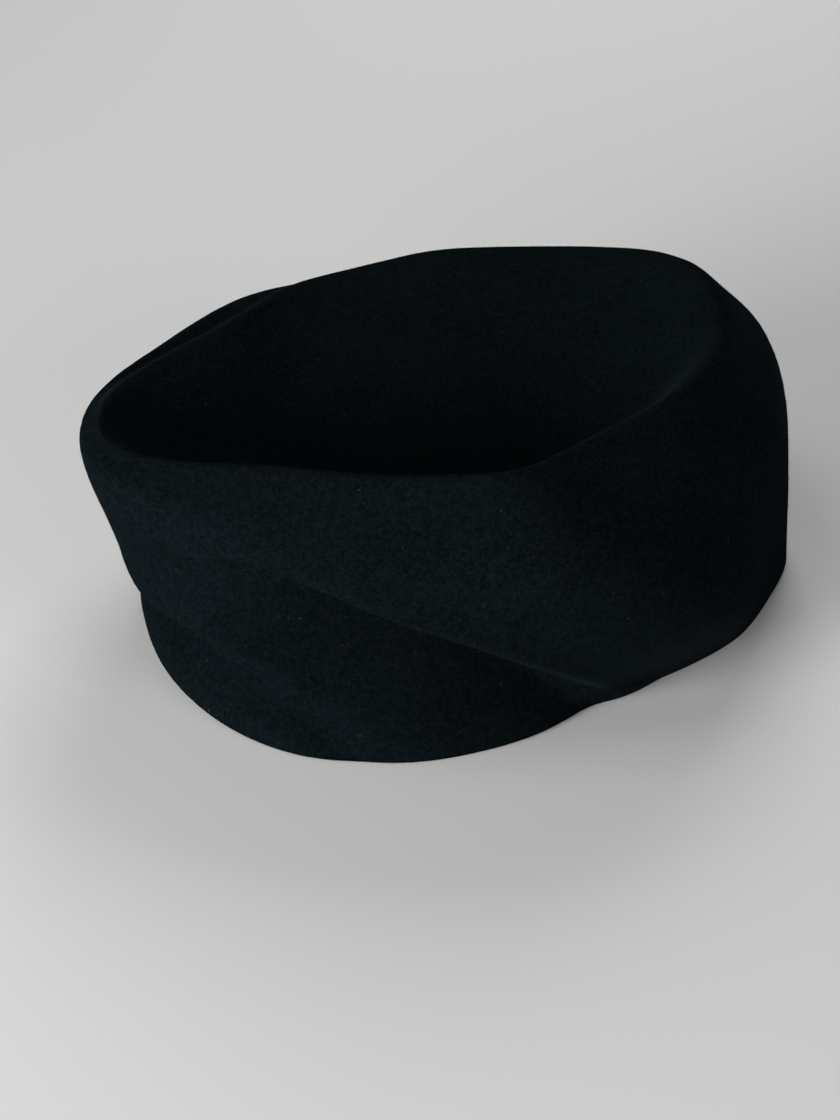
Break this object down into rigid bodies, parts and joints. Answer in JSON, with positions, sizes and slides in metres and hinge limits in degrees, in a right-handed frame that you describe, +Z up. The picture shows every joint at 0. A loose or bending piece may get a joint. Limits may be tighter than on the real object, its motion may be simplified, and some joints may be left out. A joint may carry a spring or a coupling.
{
  "type": "pillbox hat",
  "caption": "Sculpted black felt pillbox hat, an open-bottomed shell with a long dent in the crown, a pointed side and tucked, draped walls.",
  "frame": {"origin": "middle of the bounding box in plan, at the height of the rim the hat rests on", "axes": "+Z up out of the crown, +X toward the round side opposite the point, so the long front of the dent faces -Y"},
  "size_m": [0.2012, 0.1718, 0.0793],
  "materials": {
    "felt": "soft fur felt with a short nap"
  },
  "bodies": {
    "root": {"crown": "felt"}
  },
  "joints": []
}
